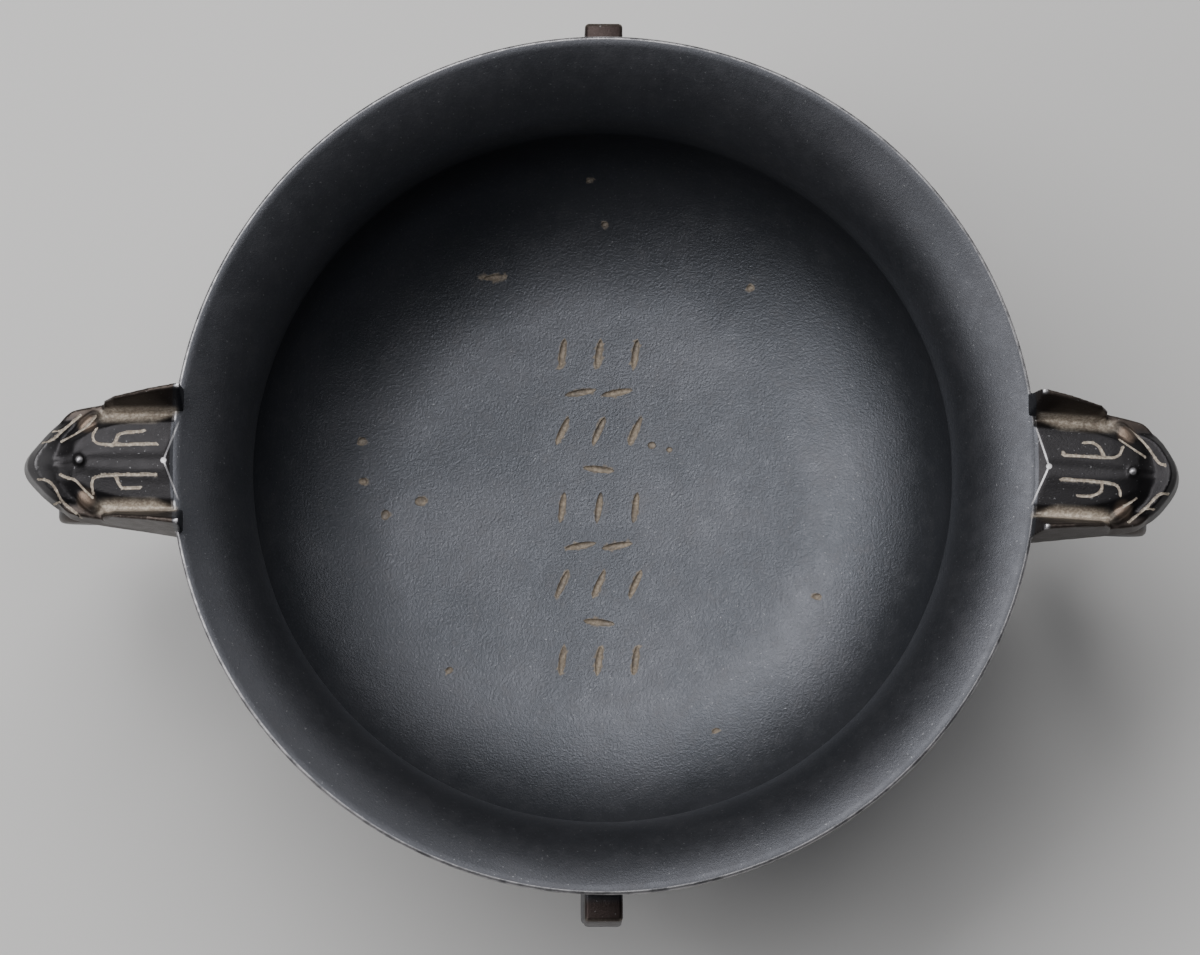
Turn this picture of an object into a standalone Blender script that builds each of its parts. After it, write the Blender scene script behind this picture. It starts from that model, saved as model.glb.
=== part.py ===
"""Gui censer: a round bronze bowl on a foot ring, with two beast-head loop handles and two flanges.

Metres, +Z up. The origin is on the ground under the middle of the bowl, +X runs along the handles
and the front is at -Y.
"""

import math

import bmesh
import bpy
from mathutils import Matrix, Vector

# Bowl
RIM_RADIUS = 0.075
RIM_HEIGHT = 0.084
LIP_HEIGHT = 0.0018
LIP_ROUNDING = 0.0005
NECK_RADIUS = 0.0612
NECK_DEPTH = 0.0145
BELLY_RADIUS = 0.0634
BELLY_DEPTH = 0.0330
WALL = 0.0034
FLARE_TURN = math.radians(66)
FLOOR_RADIUS = 0.0350
FLOOR_THICKNESS = 0.0040

# Foot ring
FOOT_HEIGHT = 0.0220
FOOT_WAIST_RADIUS = 0.0480
FOOT_RADIUS = 0.0545
FOOT_WALL = 0.0040
FOOT_BAND_HEIGHT = 0.0042
FOOT_BAND_STEP = 0.0010
HOLLOW_SHOULDER = 0.0055

# Raised lines round the neck and the foot
LINE_HEIGHT = 0.0007
LINE_WIDTH = 0.0015
LINE_ABOVE_NECK = 0.0033
LINE_BELOW_NECK = 0.0060

# Handles
HEAD_LENGTH = 0.0262
HEAD_HALF_WIDTH = 0.0124
HEAD_DEPTH = 0.0145
BROW_SLOPE = math.radians(17.5)
EAR_RISE = 0.0095
EAR_LENGTH = 0.0138
EAR_THICKNESS = 0.0042
EAR_LEAN = 0.0003
EAR_TAPER = 0.0022
EAR_PROUD = 0.0002
EYE_LENGTH = 0.0058
BOSS_RADIUS = 0.0013
LIP_DEPTH = 0.0085
LIP_THICKNESS = 0.0050
STRAP_WIDTH = 0.0190
STRAP_THICKNESS = 0.0046
STRAP_LOW_WIDTH = 0.0100
STRAP_BEYOND_RIM = 0.0210
STRAP_TOP_DEPTH = 0.0090
STRAP_ABOVE_FOOT = 0.0160
STRAP_TOP_BEND = 0.0080
STRAP_LOW_BEND = 0.0170
PENDANT_WIDTH = 0.0066
PENDANT_THICKNESS = 0.0060
PENDANT_LENGTH = 0.0170
HANDLE_TURNS = {"right": math.radians(-3.5), "left": math.radians(180)}

# Flanges
FLANGE_BEYOND_RIM = 0.0040
FLANGE_WIDTH = 0.0066
FLANGE_TOP_DEPTH = 0.0080
FLANGE_ABOVE_FOOT = 0.0060
FLANGE_TAPER = 0.0030
FLANGE_NOTCH = 0.0020
FLANGE_EDGE = 0.0008
FOOT_FLANGE_BEYOND_FOOT = 0.0080
FOOT_FLANGE_GAP = 0.0030

# Rows of shallow strokes on the floor
STROKE_ROWS = 9
STROKE_ROW_PITCH = 0.0070
STROKE_LENGTH = 0.0056
STROKE_WIDTH = 0.0010
STROKE_DEPTH = 0.0006
STROKE_PITCH = 0.0066
STROKE_COUNTS = (3, 2, 3, 1)
STROKE_TURNS = (math.radians(82), math.radians(10), math.radians(66), math.radians(-6))

# How finely the round shapes are divided
TURN_STEPS = 60
ARC_STEPS = 6
NEAR_ZERO = 0.00001
INSET = 0.0010

BRONZE_COLOUR = (0.060, 0.053, 0.050, 1.0)
BRONZE_ROUGHNESS = 0.42
BRONZE_METALLIC = 0.85


def clear_scene():
    for thing in list(bpy.data.objects):
        bpy.data.objects.remove(thing)


def new_collection(name):
    collection = bpy.data.collections.new(name)
    bpy.context.scene.collection.children.link(collection)
    return collection


def dark_bronze():
    material = bpy.data.materials.new("dark_bronze")
    material.use_nodes = True
    shader = material.node_tree.nodes["Principled BSDF"]
    shader.inputs["Base Color"].default_value = BRONZE_COLOUR
    shader.inputs["Roughness"].default_value = BRONZE_ROUGHNESS
    shader.inputs["Metallic"].default_value = BRONZE_METALLIC
    return material


def new_object(name, mesh, collection):
    thing = bpy.data.objects.new(name, mesh)
    collection.objects.link(thing)
    return thing


def as_tool(thing):
    """A form that only cuts or joins another."""
    thing.hide_render = True
    thing.display_type = "WIRE"
    return thing


def boolean(thing, other, operation):
    modifier = thing.modifiers.new(f"{operation.lower()} {other.name}", "BOOLEAN")
    modifier.operation = operation
    modifier.solver = "EXACT"
    modifier.object = other


def settled(thing):
    """The thing's mesh as its modifiers leave it."""
    bpy.context.view_layer.update()
    evaluated = thing.evaluated_get(bpy.context.evaluated_depsgraph_get())
    mesh = bpy.data.meshes.new_from_object(evaluated)
    joined = bmesh.new()
    joined.from_mesh(mesh)
    bmesh.ops.remove_doubles(joined, verts=joined.verts, dist=NEAR_ZERO)
    bmesh.ops.triangulate(joined, faces=joined.faces)
    joined.to_mesh(mesh)
    joined.free()
    return mesh


def join_flat_faces(thing):
    flat = thing.modifiers.new("flat faces in one", "DECIMATE")
    flat.decimate_type = "DISSOLVE"
    flat.angle_limit = math.radians(0.1)


def turned(name, profile, collection):
    """A body of revolution about Z. The profile runs down its outer side."""
    mesh = bpy.data.meshes.new(name)
    points = [(radius, 0, height) for radius, height in profile]
    edges = [(index, index + 1) for index in range(len(points) - 1)]
    mesh.from_pydata(points, edges, [])
    thing = new_object(name, mesh, collection)
    screw = thing.modifiers.new("turn", "SCREW")
    screw.steps = TURN_STEPS
    screw.render_steps = TURN_STEPS
    screw.use_merge_vertices = True
    screw.merge_threshold = NEAR_ZERO
    join_flat_faces(thing)
    return thing


def loft(name, rings, collection):
    """A closed body through rings of equally many points, all wound the same way."""
    shape = bmesh.new()
    loops = [[shape.verts.new(point) for point in ring] for ring in rings]
    count = len(loops[0])
    for near, far in zip(loops, loops[1:]):
        for index in range(count):
            after = (index + 1) % count
            shape.faces.new((near[index], near[after], far[after], far[index]))
    shape.faces.new(reversed(loops[0]))
    shape.faces.new(loops[-1])
    bmesh.ops.triangulate(shape, faces=shape.faces)
    bmesh.ops.recalc_face_normals(shape, faces=shape.faces)
    mesh = bpy.data.meshes.new(name)
    shape.to_mesh(mesh)
    shape.free()
    return new_object(name, mesh, collection)


def slab(name, outline, width, edge, collection):
    """A flat outline in the X-Z plane, thickened evenly to both sides of Y = 0."""
    curve = bpy.data.curves.new(name, "CURVE")
    curve.dimensions = "2D"
    curve.fill_mode = "BOTH"
    curve.extrude = width / 2
    spline = curve.splines.new("POLY")
    spline.points.add(len(outline) - 1)
    for point, (across, height) in zip(spline.points, outline):
        point.co = (across, height, 0, 1)
    spline.use_cyclic_u = True
    source = new_object(f"{name} outline", curve, collection)
    mesh = settled(source)
    bpy.data.objects.remove(source)
    mesh.transform(Matrix.Rotation(math.radians(90), 4, "X"))
    thing = new_object(name, mesh, collection)
    if edge:
        join_flat_faces(thing)
        bevel = thing.modifiers.new("worn edges", "BEVEL")
        bevel.width = edge
        bevel.segments = 1
        bevel.limit_method = "ANGLE"
    return thing


def ellipsoid(name, centre, radii, turn, collection):
    shape = bmesh.new()
    bmesh.ops.create_uvsphere(shape, u_segments=12, v_segments=6, radius=1)
    mesh = bpy.data.meshes.new(name)
    shape.to_mesh(mesh)
    shape.free()
    mesh.transform(
        Matrix.Translation(centre) @ Matrix.Rotation(turn, 4, "Z") @ Matrix.Diagonal((*radii, 1))
    )
    return new_object(name, mesh, collection)


def blend(start, end, share):
    return start + (end - start) * share


def arc_points(centre, radii, start, end, steps):
    """Points on an ellipse's arc, both ends included."""
    points = []
    for step in range(steps + 1):
        angle = blend(start, end, step / steps)
        points.append((centre[0] + radii[0] * math.cos(angle), centre[1] + radii[1] * math.sin(angle)))
    return points


def flare(neck_radius, rim_radius, low, high):
    """From the upright neck out to the rim, on an ellipse that stops short of level."""
    across = (rim_radius - neck_radius) / (1 - math.cos(FLARE_TURN))
    up = (high - low) / math.sin(FLARE_TURN)
    return arc_points(
        (neck_radius + across, low), (across, up), math.pi, math.pi - FLARE_TURN, ARC_STEPS
    )


def sway(from_radius, to_radius, low, high, steps):
    """From upright to upright, belly to neck."""
    points = []
    for step in range(steps + 1):
        share = step / steps
        eased = (1 - math.cos(math.pi * share)) / 2
        points.append((blend(from_radius, to_radius, eased), blend(low, high, share)))
    return points


def inside_profile():
    """The bowl's inside, from the middle of the floor up to the rim."""
    floor = FOOT_HEIGHT + FLOOR_THICKNESS
    belly = RIM_HEIGHT - BELLY_DEPTH
    neck = RIM_HEIGHT - NECK_DEPTH
    rounded = arc_points(
        (FLOOR_RADIUS, belly), (BELLY_RADIUS - FLOOR_RADIUS, belly - floor),
        -math.pi / 2, 0, ARC_STEPS + 2,
    )
    neck_in = sway(BELLY_RADIUS, NECK_RADIUS, belly, neck, 4)
    rim = flare(NECK_RADIUS, RIM_RADIUS - LIP_ROUNDING, neck, RIM_HEIGHT)
    return [(0, floor), *rounded, *neck_in[1:], *rim[1:]]


def with_line(radius, height):
    """A raised line of three points on a wall."""
    return [
        (radius, height + LINE_WIDTH / 2),
        (radius + LINE_HEIGHT, height),
        (radius, height - LINE_WIDTH / 2),
    ]


def outside_profile():
    """The bowl's and the foot ring's outside, from the rim down, and back under the floor."""
    belly = RIM_HEIGHT - BELLY_DEPTH
    neck = RIM_HEIGHT - NECK_DEPTH
    lip = [(RIM_RADIUS, RIM_HEIGHT - LIP_ROUNDING), (RIM_RADIUS, RIM_HEIGHT - LIP_HEIGHT)]
    under_lip = flare(NECK_RADIUS + WALL, RIM_RADIUS - LIP_HEIGHT, neck, RIM_HEIGHT - LIP_HEIGHT - WALL / 2)
    above = [point for point in reversed(under_lip) if point[1] > neck + LINE_ABOVE_NECK + LINE_WIDTH]
    line_radius = NECK_RADIUS + WALL + LINE_HEIGHT / 2
    neck_out = sway(BELLY_RADIUS + WALL, NECK_RADIUS + WALL, belly, neck, 4)
    below = [point for point in reversed(neck_out) if point[1] < neck - LINE_BELOW_NECK - LINE_WIDTH]
    rounded = arc_points(
        (FOOT_WAIST_RADIUS, belly),
        (BELLY_RADIUS + WALL - FOOT_WAIST_RADIUS, belly - FOOT_HEIGHT),
        0, -math.pi / 2, ARC_STEPS + 1,
    )
    foot = sway(FOOT_RADIUS - FOOT_BAND_STEP, FOOT_WAIST_RADIUS, FOOT_BAND_HEIGHT, FOOT_HEIGHT, 4)
    band = [(FOOT_RADIUS, FOOT_BAND_HEIGHT), (FOOT_RADIUS, 0)]
    hollow = [
        (FOOT_RADIUS - FOOT_WALL, 0),
        (FOOT_WAIST_RADIUS - FOOT_WALL, FOOT_HEIGHT - HOLLOW_SHOULDER),
        (FOOT_WAIST_RADIUS - 2 * FOOT_WALL, FOOT_HEIGHT),
        (0, FOOT_HEIGHT),
    ]
    return [
        *lip, *above, *with_line(line_radius, neck + LINE_ABOVE_NECK),
        *with_line(line_radius, neck - LINE_BELOW_NECK),
        *below, *rounded[1:], *list(reversed(foot))[1:], *band, *hollow,
    ]


def outside_radius(height):
    """The radius of the bowl's outside below the belly."""
    belly = RIM_HEIGHT - BELLY_DEPTH
    share = min(max((belly - height) / (belly - FOOT_HEIGHT), 0), 1)
    return FOOT_WAIST_RADIUS + (BELLY_RADIUS + WALL - FOOT_WAIST_RADIUS) * math.sqrt(1 - share ** 2)


def mouth_tool(collection):
    """The room inside the bowl and above the rim's slope, which a root is cut back to."""
    wall_middle = [(radius + INSET, height) for radius, height in inside_profile()[2:]]
    below_rim = [point for point in wall_middle if point[0] < RIM_RADIUS - 2 * INSET]
    above = RIM_RADIUS + HEAD_LENGTH
    slope = math.tan(BROW_SLOPE)
    upper = [
        (RIM_RADIUS - LIP_ROUNDING, RIM_HEIGHT - LIP_ROUNDING / 4),
        (above, RIM_HEIGHT + (above - RIM_RADIUS) * slope),
        (0, RIM_HEIGHT + (above - RIM_RADIUS) * slope),
    ]
    profile = [(0, below_rim[0][1]), *below_rim, *upper]
    return as_tool(turned("mouth tool", list(reversed(profile)), collection))


# Each place along the head, from the rim to the nose. Along is a share of the head's length,
# crown and jaw are shares of its depth from the rim's level, brow and cheek of its half width,
# and dip is the furrow beside the brow, a share of the depth.
HEAD_PLACES = (
    {"along": 0.05, "crown": 0.052, "brow": 0.55, "cheek": 0.98, "dip": 0.14, "jaw": -0.95},
    {"along": 0.34, "crown": 0.055, "brow": 0.53, "cheek": 0.90, "dip": 0.15, "jaw": -0.95},
    {"along": 0.53, "crown": 0.058, "brow": 0.43, "cheek": 0.84, "dip": 0.17, "jaw": -0.88},
    {"along": 0.65, "crown": 0.045, "brow": 0.26, "cheek": 0.79, "dip": 0.18, "jaw": -0.80},
    {"along": 0.71, "crown": -0.09, "brow": 0.22, "cheek": 0.76, "dip": 0.10, "jaw": -0.76},
    {"along": 0.78, "crown": -0.16, "brow": 0.20, "cheek": 0.64, "dip": 0.06, "jaw": -0.72},
    {"along": 0.90, "crown": -0.14, "brow": 0.10, "cheek": 0.30, "dip": 0.04, "jaw": -0.66},
)
BROW_FALL = 0.05


def head_ring(along, crown, brow, cheek, dip, jaw):
    """One section across the head, round from the crown on one side and back on the other."""
    crown, dip, jaw, fall = (share * HEAD_DEPTH for share in (crown, dip, jaw, BROW_FALL))
    brow, cheek = brow * HEAD_HALF_WIDTH, cheek * HEAD_HALF_WIDTH
    side = [
        (brow * 0.6, crown - fall * 0.6),
        (brow, crown - fall),
        ((brow + cheek) / 2, crown - fall - dip),
        (cheek * 0.94, crown - fall - dip),
        (cheek, blend(crown - fall - dip, jaw, 0.4)),
        (cheek * 0.86, jaw),
    ]
    half = [(0, crown), *side, (0, jaw)]
    other = [(-across, height) for across, height in reversed(side)]
    return [(along, across, RIM_HEIGHT + height) for across, height in [*half, *other]]


def head_body(collection):
    rings = [head_ring(**{**HEAD_PLACES[0], "along": NECK_RADIUS})]
    for place in HEAD_PLACES:
        rings.append(head_ring(**{**place, "along": RIM_RADIUS + place["along"] * HEAD_LENGTH}))
    return loft("head", rings, collection)


def lip_path():
    """The open mouth's edge in plan, from one cheek round the nose to the other."""
    nose = RIM_RADIUS + HEAD_LENGTH - LIP_THICKNESS / 2
    side = [
        (nose - 0.42 * HEAD_LENGTH, 0.54 * HEAD_HALF_WIDTH, -0.42),
        (nose - 0.14 * HEAD_LENGTH, 0.49 * HEAD_HALF_WIDTH, -0.17),
        (nose - 0.03 * HEAD_LENGTH, 0.22 * HEAD_HALF_WIDTH, -0.04),
    ]
    return [*side, (nose, 0, 0), *[(along, -across, top) for along, across, top in reversed(side)]]


def head_lip(collection):
    """The upturned lip: a band on edge along its path, highest at the nose."""
    path = lip_path()
    rings = []
    for index, (along, across, top) in enumerate(path):
        before = path[max(index - 1, 0)]
        after = path[min(index + 1, len(path) - 1)]
        run = Vector((after[0] - before[0], after[1] - before[1])).normalized()
        out = Vector((-run.y, run.x))
        if out.dot(Vector((along - RIM_RADIUS, across))) < 0:
            out = -out
        high = RIM_HEIGHT + top * LIP_DEPTH
        low = RIM_HEIGHT - LIP_DEPTH
        corners = (
            (-0.50, high - 0.22 * LIP_DEPTH), (0.12, high), (0.40, high - 0.22 * LIP_DEPTH),
            (0.58, low + 0.20 * LIP_DEPTH), (0.45, low), (-0.50, low),
        )
        rings.append([
            (along + out.x * share * LIP_THICKNESS, across + out.y * share * LIP_THICKNESS, height)
            for share, height in corners
        ])
    return loft("lip", rings, collection)


def head_ear(side, collection):
    """An upright ear, highest at its back corner on the rim's lip, leaning out over the head."""
    foot = -0.55 * HEAD_DEPTH
    inner = HEAD_HALF_WIDTH - EAR_THICKNESS
    back = math.sqrt(RIM_RADIUS ** 2 - HEAD_HALF_WIDTH ** 2) - LIP_ROUNDING
    rings = []
    for along, rise in ((0, 1), (0.4, 0.86), (0.85, 0.50), (1, 0.06)):
        top = rise * EAR_RISE
        start = back + along * EAR_LENGTH
        outer = HEAD_HALF_WIDTH + EAR_PROUD - along * EAR_TAPER
        corners = (
            (inner, foot), (inner, -0.12 * HEAD_DEPTH), (blend(inner, outer, 0.72), top),
            (blend(inner, outer, 0.92), top), (outer, 0), (outer, foot),
        )
        rings.append([
            (start + EAR_LEAN * height / EAR_RISE, side * across, RIM_HEIGHT + height)
            for across, height in corners
        ])
    return loft("ear", rings, collection)


def head_eye(side, collection):
    centre = Vector((RIM_RADIUS + 0.60 * HEAD_LENGTH, side * 0.53 * HEAD_HALF_WIDTH, 0))
    centre.z = RIM_HEIGHT - 0.14 * HEAD_DEPTH
    radii = (EYE_LENGTH / 2, EYE_LENGTH / 4, EYE_LENGTH / 3.6)
    return ellipsoid("eye", centre, radii, -side * math.radians(48), collection)


def head_boss(collection):
    centre = (RIM_RADIUS + 0.635 * HEAD_LENGTH, 0, RIM_HEIGHT + 0.02 * HEAD_DEPTH)
    return ellipsoid("boss", centre, (BOSS_RADIUS, BOSS_RADIUS, BOSS_RADIUS), 0, collection)


def strap_path():
    """The loop's middle line in the X-Z plane, out from under the head and back to the belly."""
    out = RIM_RADIUS + STRAP_BEYOND_RIM - STRAP_THICKNESS / 2
    top = RIM_HEIGHT - STRAP_TOP_DEPTH - STRAP_THICKNESS / 2
    low = FOOT_HEIGHT + STRAP_ABOVE_FOOT
    upper = arc_points(
        (out - STRAP_TOP_BEND, top - STRAP_TOP_BEND), (STRAP_TOP_BEND, STRAP_TOP_BEND),
        math.pi / 2, 0, 4,
    )
    lower = arc_points(
        (out - STRAP_LOW_BEND, low + STRAP_LOW_BEND), (STRAP_LOW_BEND, STRAP_LOW_BEND),
        0, -math.pi / 2, ARC_STEPS,
    )
    return [(RIM_RADIUS + STRAP_THICKNESS, top), *upper, *lower, (outside_radius(low) - WALL, low)]


def strap(collection):
    path = strap_path()
    rings = []
    edge = 0.16 * STRAP_THICKNESS
    half_thick = STRAP_THICKNESS / 2
    for index, (along, height) in enumerate(path):
        before = path[max(index - 1, 0)]
        after = path[min(index + 1, len(path) - 1)]
        run = Vector((after[0] - before[0], after[1] - before[1])).normalized()
        out = Vector((-run.y, run.x))
        drop = (path[0][1] - height) / (path[0][1] - path[-1][1])
        half_width = blend(STRAP_WIDTH, STRAP_LOW_WIDTH, drop) / 2
        corners = (
            (half_width, half_thick - edge), (half_width - edge, half_thick),
            (edge - half_width, half_thick), (-half_width, half_thick - edge),
            (-half_width, -half_thick), (half_width, -half_thick),
        )
        rings.append([
            (along + out.x * thick, across, height + out.y * thick) for across, thick in corners
        ])
    return loft("strap", rings, collection)


def pendant(collection):
    """The hooked tab that hangs below the loop."""
    outer = RIM_RADIUS + STRAP_BEYOND_RIM - STRAP_LOW_BEND * 0.42
    inner = outer - PENDANT_THICKNESS
    top = FOOT_HEIGHT + STRAP_ABOVE_FOOT + STRAP_THICKNESS / 2
    low = top - STRAP_THICKNESS / 2 - PENDANT_LENGTH
    hook = PENDANT_THICKNESS * 0.6
    outline = (
        (inner, top), (inner, low + 2 * hook), (inner - hook, low + 2 * hook),
        (inner - hook, low), (outer - hook / 2, low), (outer, low + hook), (outer, top),
    )
    return slab("pendant", outline, PENDANT_WIDTH, FLANGE_EDGE, collection)


def handle_form(collection):
    """The head and its loop as one mesh, without the ears, which stand on the rim."""
    body = head_body(collection)
    parts = [head_lip(collection), head_boss(collection), strap(collection), pendant(collection)]
    parts += [head_eye(side, collection) for side in (1, -1)]
    for part in parts:
        boolean(body, as_tool(part), "UNION")
    return as_tool(body)


def placed(mesh, name, turn, collection):
    """A handle's piece on its side of the bowl, turned about the rim where it is rooted."""
    thing = new_object(name, mesh, collection)
    side = round(math.cos(turn))
    root = Matrix.Translation((side * RIM_RADIUS, 0, 0))
    thing.matrix_world = root @ Matrix.Rotation(turn, 4, "Z") @ Matrix.Translation((-RIM_RADIUS, 0, 0))
    return as_tool(thing)


def add_handles(bowl, mouth, collection):
    form = settled(handle_form(collection))
    ears = [settled(as_tool(head_ear(side, collection))) for side in (1, -1)]
    for side, turn in HANDLE_TURNS.items():
        handle = placed(form, f"{side} handle", turn, collection)
        boolean(handle, mouth, "DIFFERENCE")
        for number, ear in enumerate(ears, 1):
            boolean(handle, placed(ear, f"{side} ear {number}", turn, collection), "UNION")
        boolean(bowl, handle, "UNION")


def flange_outline():
    """The flange beside the bowl: its outer edge has a notch between the neck and the belly."""
    reach = RIM_RADIUS + FLANGE_BEYOND_RIM
    high = RIM_HEIGHT - FLANGE_TOP_DEPTH
    middle = RIM_HEIGHT - NECK_DEPTH - LINE_BELOW_NECK
    low = FOOT_HEIGHT + FLANGE_ABOVE_FOOT
    inner = reach - 2 * FLANGE_NOTCH
    return (
        (outside_radius(low) - WALL, low), (reach - FLANGE_TAPER - FLANGE_NOTCH, low),
        (reach - FLANGE_TAPER, low + 2 * FLANGE_NOTCH),
        (reach - FLANGE_NOTCH / 2, middle - FLANGE_NOTCH), (inner, middle - FLANGE_NOTCH),
        (inner, middle), (reach, middle), (reach, high), (NECK_RADIUS, high),
    )


def foot_flange_outline():
    reach = FOOT_RADIUS + FOOT_FLANGE_BEYOND_FOOT
    top = FOOT_HEIGHT - FOOT_FLANGE_GAP
    return (
        (FOOT_RADIUS - FOOT_WALL / 2, FOOT_BAND_HEIGHT), (reach, FOOT_BAND_HEIGHT),
        (reach, top - 2 * FLANGE_NOTCH), (reach - FLANGE_NOTCH, top),
        (FOOT_WAIST_RADIUS - FOOT_WALL / 2, top),
    )


def add_flanges(bowl, mouth, collection):
    upper = slab("flange", flange_outline(), FLANGE_WIDTH, FLANGE_EDGE, collection)
    lower = slab("foot flange", foot_flange_outline(), FLANGE_WIDTH, FLANGE_EDGE, collection)
    meshes = [settled(as_tool(form)) for form in (upper, lower)]
    for side, turn in (("front", -90), ("back", 90)):
        for place, mesh in zip(("wall", "foot"), meshes):
            flange = new_object(f"{side} {place} flange", mesh, collection)
            flange.rotation_euler.z = math.radians(turn)
            if place == "wall":
                boolean(flange, mouth, "DIFFERENCE")
            boolean(bowl, as_tool(flange), "UNION")


def stroke_places():
    """Short strokes in rows down the middle of the floor, each row turned against the last."""
    places = []
    for row in range(STROKE_ROWS):
        height = ((STROKE_ROWS - 1) / 2 - row) * STROKE_ROW_PITCH
        count = STROKE_COUNTS[row % len(STROKE_COUNTS)]
        turn = STROKE_TURNS[row % len(STROKE_TURNS)]
        for number in range(count):
            across = (number - (count - 1) / 2) * STROKE_PITCH
            places.append((across, height, turn))
    return places


def strokes_tool(collection):
    floor = FOOT_HEIGHT + FLOOR_THICKNESS
    shape = bmesh.new()
    for across, height, turn in stroke_places():
        place = Matrix.Translation((across, height, floor)) @ Matrix.Rotation(turn, 4, "Z")
        size = Matrix.Diagonal((STROKE_LENGTH, STROKE_WIDTH, 2 * STROKE_DEPTH, 1))
        bmesh.ops.create_cube(shape, size=1, matrix=place @ size)
    mesh = bpy.data.meshes.new("strokes")
    shape.to_mesh(mesh)
    shape.free()
    return as_tool(new_object("strokes", mesh, collection))


def build():
    clear_scene()
    censer = new_collection("gui censer")
    tools = new_collection("tools")
    profile = [*inside_profile(), *outside_profile()]
    bowl = turned("censer", profile, censer)
    mouth = mouth_tool(tools)
    add_handles(bowl, mouth, tools)
    add_flanges(bowl, mouth, tools)
    boolean(bowl, strokes_tool(tools), "DIFFERENCE")
    bowl.data.materials.append(dark_bronze())


build()
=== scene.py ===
import math

import bmesh
import bpy
from mathutils import Matrix, Vector
from mathutils.bvhtree import BVHTree
from mathutils.kdtree import KDTree


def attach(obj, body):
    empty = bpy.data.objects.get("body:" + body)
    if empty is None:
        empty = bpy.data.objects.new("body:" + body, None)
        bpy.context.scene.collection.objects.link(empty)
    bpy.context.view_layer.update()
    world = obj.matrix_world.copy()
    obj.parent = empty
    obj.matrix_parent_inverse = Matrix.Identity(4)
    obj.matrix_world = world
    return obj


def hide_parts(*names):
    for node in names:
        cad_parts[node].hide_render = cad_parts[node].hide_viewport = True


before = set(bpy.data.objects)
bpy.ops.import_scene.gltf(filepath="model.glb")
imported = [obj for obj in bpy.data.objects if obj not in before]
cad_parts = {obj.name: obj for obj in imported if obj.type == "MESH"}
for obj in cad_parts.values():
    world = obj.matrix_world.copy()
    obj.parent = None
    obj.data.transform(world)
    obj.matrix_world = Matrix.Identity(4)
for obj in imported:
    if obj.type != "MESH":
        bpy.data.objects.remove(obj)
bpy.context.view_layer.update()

MM = 0.001

# Bowl, as its solid is
RIM_RADIUS = 0.075
RIM_HEIGHT = 0.084
LIP_HEIGHT = 0.0018
LIP_ROUNDING = 0.0005
LIP_EDGE_DROP = 0.0012
LIP_UNDERCUT = 0.0002
NECK_RADIUS = 0.0612
NECK_HEIGHT = 0.0695
BELLY_RADIUS = 0.0634
BELLY_HEIGHT = 0.0510
WALL = 0.0034
FLARE_TURN = math.radians(66)
FLOOR_RADIUS = 0.0350
FLOOR_HEIGHT = 0.0260
FLOOR_RISE = 0.0015
FOOT_HEIGHT = 0.0220
FOOT_WAIST_RADIUS = 0.0480
FOOT_RADIUS = 0.0545
FOOT_WALL = 0.0040
FOOT_BAND_HEIGHT = 0.0042
FOOT_BAND_STEP = 0.0010
FOOT_BAND_EDGE = 0.0003
FOOT_EDGE = 0.0004
HOLLOW_SHOULDER = 0.0055
HOLLOW_WALL = ((0.0483, 0.0060), (0.0458, 0.0120))
HOLLOW_TURN = (0.0425, 0.0195)
HOLLOW_FLAT_RADIUS = 0.0360
LINE_HEIGHT = 0.0007
LINE_WIDTH = 0.0015
UPPER_LINE = NECK_HEIGHT + 0.0033
LOWER_LINE = NECK_HEIGHT - 0.0060
TURN_STEPS = 288

# Heads
HEAD_LENGTH = 0.0262
HEAD_HALF_WIDTH = 0.0124
HEAD_DEPTH = 0.0145
BROW_FALL = 0.05
BROW_SLOPE = math.radians(17.5)
CROWN_FURROW = 0.00025
EAR_RISE = 0.0095
EAR_LENGTH = 0.0138
EAR_THICKNESS = 0.0042
EAR_LEANS = {"right": 0.0019, "left": 0.0004}
EAR_TAPER = 0.0022
EAR_PROUD = 0.0002
EYE_ALONG = 0.0902
EYE_ACROSS = 0.0066
EYE_RADII = (0.0028, 0.0013, 0.0013)
EYE_TURN = math.radians(46)
BOSS_ALONG = 0.0914
BOSS_RADII = (0.0009, 0.0009, 0.0009)
LIP_BAND_DEPTH = 0.0085
LIP_BAND_THICKNESS = 0.0050
GRAIN_OF_CARVING = 0.00030

# Loops and pendants
STRAP_WIDTH = 0.0190
STRAP_THICKNESS = 0.0046
STRAP_EDGE = 0.0011
STRAP_LOW_WIDTH = 0.0100
LOOP_REACH = 0.0210
STRAP_OUT = RIM_RADIUS + LOOP_REACH - STRAP_THICKNESS / 2
STRAP_TOP = RIM_HEIGHT - 0.0090 - STRAP_THICKNESS / 2
STRAP_LOW = 0.0380
STRAP_TOP_BEND = 0.0080
STRAP_LOW_BEND = 0.0170
PENDANT_WIDTH = 0.0066
PENDANT_THICKNESS = 0.0060
PENDANT_LENGTH = 0.0170
PENDANT_EDGE = 0.0008

# Flanges
FLANGE_REACH = RIM_RADIUS + 0.0040
FLANGE_WIDTH = 0.0066
FLANGE_EDGE = 0.0007
FLANGE_TOP = 0.0760
FLANGE_MIDDLE = 0.0635
FLANGE_LOW = 0.0280
FLANGE_NOTCH = 0.0020
FLANGE_TAPER = 0.0030
FLANGE_BACK = (
    (0.0672, FLANGE_TOP), (0.0640, 0.0700), (0.0655, 0.0600), (0.0660, 0.0510), (0.0640, 0.0400),
)
FOOT_FLANGE_REACH = 0.0080

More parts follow.
